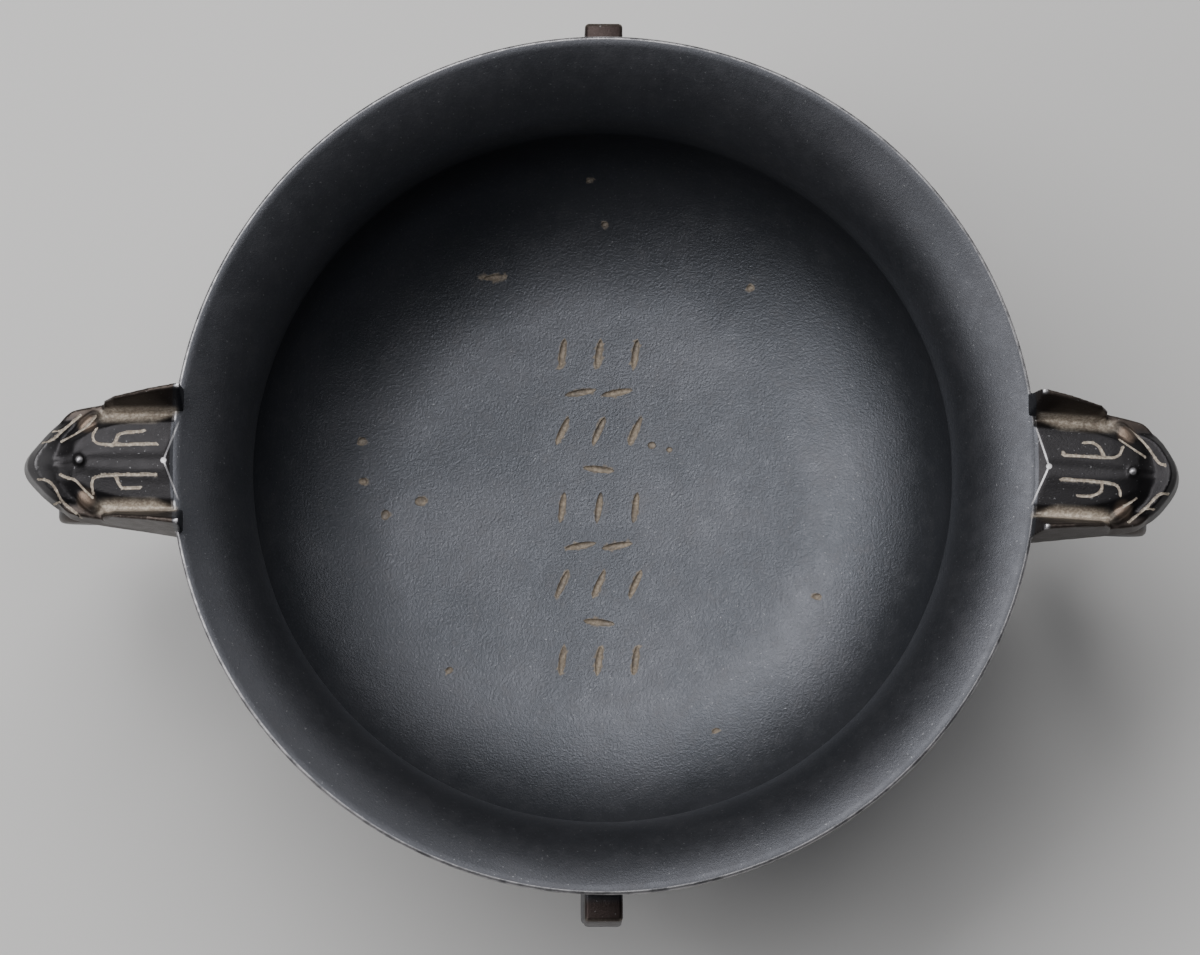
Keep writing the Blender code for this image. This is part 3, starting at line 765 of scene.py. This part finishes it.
def build_censer():
    bowl = draw_bowl()
    add_undulation(bowl, 0.001, RIM_HEIGHT - 0.0002, 0.016, 0.00030)
    cutters, strokes, pits = strokes_and_pits()
    cut(bowl, cutters)
    mouth = mouth_form()
    lines = []
    heads = []
    for side in HANDLE_TURNS:
        form = head(side, mouth)
        lines += carve_lines(form, side)
        with_modifier(form, "DECIMATE", ratio=0.6)
        heads.append(form)
    bpy.data.objects.remove(mouth)
    added(bowl, joined("heads", heads))
    added(bowl, joined("straps", [turned_to(strap(), side) for side in HANDLE_TURNS]))
    plates = [turned_to(pendant(), side) for side in HANDLE_TURNS]
    for turn in (-90, 90):
        for flange in (wall_flange(), foot_flange()):
            flange.rotation_euler.z = math.radians(turn)
            pick(flange)
            plates.append(named(flange.name))
    added(bowl, joined("plates", plates))
    return bowl, lines, strokes, pits


def mark_surface(thing, lines, strokes, pits):
    """Where pale deposit lies in the recesses, where the edges are worn bright, and a painted highlight dot
    on each ear's top corner.
    """
    mesh = thing.data
    tree = KDTree(len(lines))
    for index, point in enumerate(lines):
        tree.insert(point, index)
    tree.balance()
    count = len(mesh.vertices)
    around = [[] for _ in range(count)]
    for edge in mesh.edges:
        a, b = edge.vertices
        around[a].append(b)
        around[b].append(a)
    bend = [0.0] * count
    for vert in mesh.vertices:
        near = around[vert.index]
        if near:
            middle = sum((mesh.vertices[index].co for index in near), Vector()) / len(near)
            size = sum((mesh.vertices[index].co - vert.co).length for index in near) / len(near)
            bend[vert.index] = (vert.co - middle).dot(vert.normal) / max(size, 1e-6)
    for _ in range(2):
        bend = [
            (bend[index] + sum(bend[other] for other in around[index])) / (1 + len(around[index]))
            for index in range(count)
        ]
    deposit, wear_and_highlight, runs, sides = [0.0] * count, [0.0] * count, [0.0] * count, [0.0] * count
    turn_cos, turn_sin = math.cos(HANDLE_TURNS["right"]), math.sin(HANDLE_TURNS["right"])
    for vert in mesh.vertices:
        place = vert.co
        radius = math.hypot(place.x, place.y)
        here_deposit, here_wear_and_highlight = 0.0, 0.0
        side = "right" if place.x > 0 else "left"
        root = HANDLE_ROOTS[side]
        x, y = place.x - root[0], place.y - root[1]
        along, across = RIM_RADIUS - x, y
        if place.x > 0:
            along, across = x * turn_cos + y * turn_sin + RIM_RADIUS, y * turn_cos - x * turn_sin
        runs[vert.index], sides[vert.index] = along, across
        if along > RIM_RADIUS - 0.002 and abs(across) < 0.014 and place.z > RIM_HEIGHT - 0.016:
            here_deposit = 0.40 * eased(-bend[vert.index], 0.08, 0.26)
            here_wear_and_highlight = 0.35 * eased(bend[vert.index], 0.16, 0.40)
            nearest = tree.find(place)
            if nearest[0] is not None and nearest[2] < 0.0009:
                here_deposit = max(here_deposit, 1 - eased(nearest[2], 0.00014, 0.00030))
                here_wear_and_highlight *= eased(nearest[2], 0.0004, 0.0009)
            # Painted highlight: a bright dot at each ear's top back corner, stored with the wear values.
            across_side = 1 if across > 0 else -1
            corner = Vector((
                ear_back(side, across_side) + EAR_LEANS[side],
                across_side * 0.95 * HEAD_HALF_WIDTH,
                RIM_HEIGHT + EAR_RISE,
            ))
            off = (Vector((along, across, place.z)) - corner).length
            here_wear_and_highlight = max(here_wear_and_highlight, 1 - eased(off, 0.0005, 0.0011))
        elif FLOOR_HEIGHT - 0.002 < place.z < FLOOR_HEIGHT + 0.03 and radius < BELLY_RADIUS + MM / 2:
            for group, amount in ((strokes, 0.85), (pits, 0.6)):
                for centre, turn, half_long, half_wide in group:
                    offset = place - centre
                    if abs(offset.x) > half_long or abs(offset.y) > half_long:
                        continue
                    x = (offset.x * math.cos(turn) + offset.y * math.sin(turn)) / half_long
                    y = (offset.y * math.cos(turn) - offset.x * math.sin(turn)) / half_wide
                    reach = math.hypot(x, y)
                    here_deposit = max(here_deposit, amount * (1 - eased(reach, 0.90, 1.06)))
        elif radius > 0.0762 and abs(place.x) < 0.006 and place.z > FLANGE_TOP - 0.002:
            here_deposit = 0.45 * eased(bend[vert.index], 0.05, 0.2)
        if place.z < RIM_HEIGHT - 0.001 and radius > NECK_RADIUS + WALL:
            here_wear_and_highlight = max(here_wear_and_highlight, 0.7 * eased(bend[vert.index], 0.16, 0.40))
        deposit[vert.index] = min(max(here_deposit, 0), 1)
        wear_and_highlight[vert.index] = min(max(here_wear_and_highlight, 0), 1)
    for name, values in (("deposit", deposit), ("wear_and_highlight", wear_and_highlight), ("along", runs), ("across", sides)):
        layer = mesh.attributes.new(name, "FLOAT", "POINT")
        layer.data.foreach_set("value", values)


class Board:
    """A material's node tree, with nodes laid out from left to right."""

    def __init__(self, name):
        self.material = bpy.data.materials.new(name)
        self.material.use_nodes = True
        self.tree = self.material.node_tree
        self.shader = self.tree.nodes["Principled BSDF"]
        self.column = -1800

    def node(self, kind, **settings):
        node = self.tree.nodes.new(kind)
        node.location = (self.column, 0)
        self.column += 120
        for key, value in settings.items():
            setattr(node, key, value)
        return node

    def join(self, source, socket):
        self.tree.links.new(source, socket)

    def noise(self, coordinates, scale, detail, roughness=0.5):
        node = self.node("ShaderNodeTexNoise")
        node.inputs["Scale"].default_value = scale
        node.inputs["Detail"].default_value = detail
        node.inputs["Roughness"].default_value = roughness
        self.join(coordinates, node.inputs["Vector"])
        return node.outputs["Fac"]

    def span(self, value, low, high, to_low=0.0, to_high=1.0):
        node = self.node("ShaderNodeMapRange", interpolation_type="SMOOTHSTEP")
        for name, number in (("From Min", low), ("From Max", high), ("To Min", to_low), ("To Max", to_high)):
            node.inputs[name].default_value = number
        self.join(value, node.inputs["Value"])
        return node.outputs["Result"]

    def maths(self, operation, first, second):
        node = self.node("ShaderNodeMath", operation=operation)
        for socket, value in zip(node.inputs, (first, second)):
            if isinstance(value, (int, float)):
                socket.default_value = value
            else:
                self.join(value, socket)
        return node.outputs["Value"]

    def mixed(self, share, first, second):
        node = self.node("ShaderNodeMix", data_type="RGBA")
        sockets = (node.inputs["Factor"], node.inputs["A"], node.inputs["B"])
        for socket, value in zip(sockets, (share, first, second)):
            if isinstance(value, tuple):
                socket.default_value = (*value, 1)
            else:
                self.join(value, socket)
        return node.outputs["Result"]

    def attribute(self, name):
        return self.node("ShaderNodeAttribute", attribute_name=name).outputs["Fac"]

    def distance(self, first, first_middle, second, second_middle):
        """How far a place lies from a middle, by two of its coordinates."""
        squares = []
        for value, middle in ((first, first_middle), (second, second_middle)):
            offset = self.maths("SUBTRACT", value, middle)
            squares.append(self.maths("MULTIPLY", offset, offset))
        return self.maths("SQRT", self.maths("ADD", *squares), 0)

    def polish_and_highlights(self, along, across, height):
        """Bright worn metal with painted highlights over it: the V where the rim runs into each head, its
        tip, and a painted highlight dot on the boss.
        """
        edge = self.maths("MULTIPLY", self.maths("SUBTRACT", along, V_TIP), V_RUN)
        edge = self.maths("ADD", edge, self.maths("MULTIPLY", across, V_REACH))
        line = self.span(self.maths("ABSOLUTE", edge, 0), 0.00007, 0.00021, 1, 0)
        line = self.maths("MULTIPLY", line, self.span(across, 0.0010, 0.0071, 0.8, 0.3))
        line = self.maths("MULTIPLY", line, self.span(across, 0.0064, 0.0071, 1, 0))
        line = self.maths("MULTIPLY", line, self.span(height, RIM_HEIGHT - 0.001, RIM_HEIGHT - 0.0005))
        tip = self.span(self.distance(along, V_TIP, across, 0), 0.00035, 0.00060, 1, 0)
        boss = self.span(self.distance(along, BOSS_ALONG, across, 0), 0.00045, 0.00075, 0.8, 0)
        spots = self.maths("MAXIMUM", self.maths("MAXIMUM", line, tip), boss)
        return self.maths("MULTIPLY", spots, self.span(height, RIM_HEIGHT - 0.004, RIM_HEIGHT - 0.003))

    def silted(self, along, across, height, mottle):
        """The pale deposit along the foot of each ear, soft towards the head and sharp against the ear."""
        inner = self.span(along, 0.0742, 0.0790, 0.0076, 0.0061)
        from_inner = self.maths("SUBTRACT", across, inner)
        share = self.span(from_inner, 0, 0.0017)
        share = self.maths("MULTIPLY", share, self.span(across, 0.0088, 0.0094, 1, 0))
        share = self.maths("MULTIPLY", share, self.span(along, 0.0740, 0.0752))
        share = self.maths("MULTIPLY", share, self.span(along, 0.0864, 0.0896, 1, 0))
        share = self.maths("MULTIPLY", share, self.span(height, RIM_HEIGHT - 0.006, RIM_HEIGHT - 0.005))
        below_top = self.span(height, RIM_HEIGHT + 0.0035, RIM_HEIGHT + 0.0045, 1, 0)
        share = self.maths("MULTIPLY", share, below_top)
        return self.maths("MULTIPLY", share, self.span(mottle, 0.25, 0.60, 0.65, 1.0))


def dark_bronze():
    board = Board("dark_bronze")
    place = board.node("ShaderNodeTexCoord").outputs["Object"]
    parts = board.node("ShaderNodeSeparateXYZ")
    board.join(place, parts.inputs["Vector"])
    broad = board.noise(place, 45, 2, 0.6)
    mottle = board.noise(place, 330, 3, 0.7)
    grain = board.noise(place, 2100, 3, 0.6)
    fine = board.noise(place, 4600, 2, 0.5)
    specks = board.span(board.noise(place, 2300, 1, 0.4), 0.70, 0.80)
    deposit, wear_and_highlight = board.attribute("deposit"), board.attribute("wear_and_highlight")
    along, across = board.attribute("along"), board.maths("ABSOLUTE", board.attribute("across"), 0)
    radius = board.distance(parts.outputs["X"], 0, parts.outputs["Y"], 0)
    height = parts.outputs["Z"]

    metal = board.mixed(board.span(broad, 0.35, 0.68), (0.066, 0.070, 0.080), (0.082, 0.085, 0.096))
    metal = board.mixed(board.span(mottle, 0.50, 0.80, 0, 0.35), metal, (0.105, 0.103, 0.110))
    metal = board.mixed(board.span(grain, 0.52, 0.72, 0, 0.30), metal, (0.135, 0.137, 0.150))
    metal = board.mixed(board.span(radius, 0.0600, 0.0670, 0, 0.55), metal, (0.040, 0.040, 0.045))
    beyond = board.span(radius, 0.0750, 0.0753)
    beyond = board.maths("MAXIMUM", beyond, board.span(along, V_TIP, V_TIP + 0.0004))
    on_head = board.maths("MULTIPLY", beyond, board.span(across, 0.020, 0.022, 1, 0))
    metal = board.mixed(board.maths("MULTIPLY", on_head, 0.94), metal, (0.012, 0.012, 0.014))
    warm = board.maths("MULTIPLY", on_head, board.span(across, 0.0068, 0.0086, 0.10, 0.85))
    metal = board.mixed(warm, metal, (0.060, 0.047, 0.040))
    back = board.maths("ABSOLUTE", parts.outputs["Y"], 0)
    tab = board.span(back, 0.0740, 0.0762, 0, 0.9)
    tab = board.maths("MULTIPLY", tab, board.span(height, 0.0560, 0.0750, 0.15, 1))
    metal = board.mixed(tab, metal, (0.026, 0.016, 0.013))
    metal = board.mixed(board.maths("MULTIPLY", specks, 0.30), metal, (0.34, 0.34, 0.35))
    # Worn bright metal together with the painted highlights below, all mixed into one pale colour.
    worn_and_highlight = board.maths("MULTIPLY", wear_and_highlight, board.span(mottle, 0.35, 0.6, 0.35, 1.0))
    # Painted highlight along the lip's outer edge, laid over worn metal there.
    rim = board.maths("MULTIPLY", board.span(radius, 0.07435, 0.07462), board.span(height, 0.0818, 0.0822))
    rim = board.maths("MULTIPLY", rim, board.span(height, RIM_HEIGHT + 0.00004, RIM_HEIGHT + 0.00012, 1, 0))
    rim = board.maths("MULTIPLY", rim, board.span(radius, 0.0751, 0.0753, 1, 0))
    rim = board.maths("MULTIPLY", rim, board.span(across, 0.0068, 0.0074))
    rim = board.maths("MULTIPLY", rim, board.span(mottle, 0.36, 0.62, 0.25, 0.80))
    worn_and_highlight = board.maths("MAXIMUM", worn_and_highlight, rim)
    # Painted highlights on the V, its tip and the boss, over worn metal.
    worn_and_highlight = board.maths("MAXIMUM", worn_and_highlight, board.polish_and_highlights(along, across, height))
    # Painted sheen on the top of the left head's upturned lip.
    snout_sheen = board.maths("MULTIPLY", on_head, board.span(along, 0.0945, 0.0985, 0, 0.16))
    snout_sheen = board.maths("MULTIPLY", snout_sheen, board.span(parts.outputs["X"], -0.080, -0.078, 1, 0))
    worn_and_highlight = board.maths("MAXIMUM", worn_and_highlight, snout_sheen)
    metal = board.mixed(worn_and_highlight, metal, (0.40, 0.39, 0.40))
    eye = board.span(board.distance(along, EYE_ALONG, across, EYE_ACROSS), 0.0010, 0.0021, 0.75, 0)
    eye = board.maths("MULTIPLY", eye, board.span(height, RIM_HEIGHT - 0.005, RIM_HEIGHT - 0.004))
    metal = board.mixed(eye, metal, (0.17, 0.125, 0.095))
    patchy = board.span(deposit, 0.25, 0.65)
    patchy = board.maths("MULTIPLY", patchy, board.span(mottle, 0.28, 0.58, 0.6, 1.0))
    patchy = board.maths("MAXIMUM", patchy, board.silted(along, across, height, mottle))
    pale = board.mixed(board.span(grain, 0.4, 0.65), (0.30, 0.25, 0.20), (0.52, 0.46, 0.38))
    dull = board.mixed(board.span(grain, 0.4, 0.65), (0.18, 0.147, 0.112), (0.30, 0.25, 0.195))
    pale = board.mixed(board.span(radius, 0.0640, 0.0680), dull, pale)
    colour = board.mixed(patchy, metal, pale)
    board.join(colour, board.shader.inputs["Base Color"])

    shine = board.maths("SUBTRACT", 0.80, board.maths("MULTIPLY", patchy, 0.75))
    board.join(shine, board.shader.inputs["Metallic"])
    rough = board.span(mottle, 0.3, 0.7, 0.38, 0.46)
    rough = board.maths("SUBTRACT", rough, board.maths("MULTIPLY", worn_and_highlight, 0.10))
    rough = board.maths("ADD", rough, board.maths("MULTIPLY", patchy, 0.35))
    board.join(rough, board.shader.inputs["Roughness"])

    peel = board.maths("MULTIPLY", grain, 0.65)
    peel = board.maths("ADD", peel, board.maths("MULTIPLY", fine, 0.35))
    peel = board.maths("MULTIPLY", peel, board.span(radius, 0.052, 0.064, 1.0, 0.30))
    bump = board.node("ShaderNodeBump")
    bump.inputs["Strength"].default_value = 0.6
    bump.inputs["Distance"].default_value = 0.00026
    board.join(peel, bump.inputs["Height"])
    board.join(bump.outputs["Normal"], board.shader.inputs["Normal"])
    return board.material


def pale_floor():
    begin()
    bpy.ops.mesh.primitive_plane_add(size=6, location=(0, 0, 0))
    floor = named("floor")
    board = Board("pale_floor")
    board.shader.inputs["Base Color"].default_value = (0.62, 0.61, 0.60, 1)
    board.shader.inputs["Roughness"].default_value = 0.8
    floor.data.materials.append(board.material)


def soft_light(name, place, target, size, watts):
    data = bpy.data.lights.new(name, "AREA")
    data.shape = "RECTANGLE"
    data.size, data.size_y = size
    data.energy = watts
    light = bpy.data.objects.new(name, data)
    bpy.context.scene.collection.objects.link(light)
    light.location = place
    light.rotation_euler = (Vector(target) - Vector(place)).to_track_quat("-Z", "Y").to_euler()


def set_light():
    soft_light("key", (-0.40, 0.46, 1.20), (0, 0, 0.05), (1.3, 0.7), 18)
    soft_light("left", (-0.95, -0.20, 0.92), (0, 0, 0.05), (0.8, 0.5), 5.0)
    soft_light("right", (0.72, 0.66, 0.90), (0, 0, 0.05), (1.1, 0.5), 3.0)
    soft_light("top", (0.02, 0.10, 1.35), (0, 0, 0.05), (0.5, 0.5), 2.6)
    world = bpy.context.scene.world or bpy.data.worlds.new("studio")
    bpy.context.scene.world = world
    world.use_nodes = True
    backdrop = world.node_tree.nodes["Background"]
    backdrop.inputs["Color"].default_value = (0.80, 0.84, 0.92, 1)
    backdrop.inputs["Strength"].default_value = 0.09


def set_camera():
    """Above the mouth, leaning a little to the front, as the bowl is seen."""
    target = Vector((-0.0008, -0.0028, RIM_HEIGHT))
    lean = math.radians(8.15)
    aside = math.radians(1.0)
    distance = 1.2
    data = bpy.data.cameras.new("camera")
    data.lens = 208.3
    data.sensor_width = 36
    camera = bpy.data.objects.new("camera", data)
    bpy.context.scene.collection.objects.link(camera)
    direction = Vector((-math.sin(aside), -math.sin(lean), math.cos(lean))).normalized()
    camera.location = target + direction * distance
    right = Vector((0, 1, 0)).cross(direction).normalized()
    upward = direction.cross(right)
    camera.rotation_euler = Matrix((right, upward, direction)).transposed().to_euler()
    bpy.context.scene.camera = camera


censer, lines, strokes, pits = build_censer()
mark_surface(censer, lines, strokes, pits)
pick(censer)
bpy.ops.object.shade_smooth_by_angle(angle=math.radians(38))
censer.name = "censer_bronze"
censer.data.materials.clear()
censer.data.materials.append(dark_bronze())
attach(censer, "root")
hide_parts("censer")

pale_floor()
set_light()
set_camera()
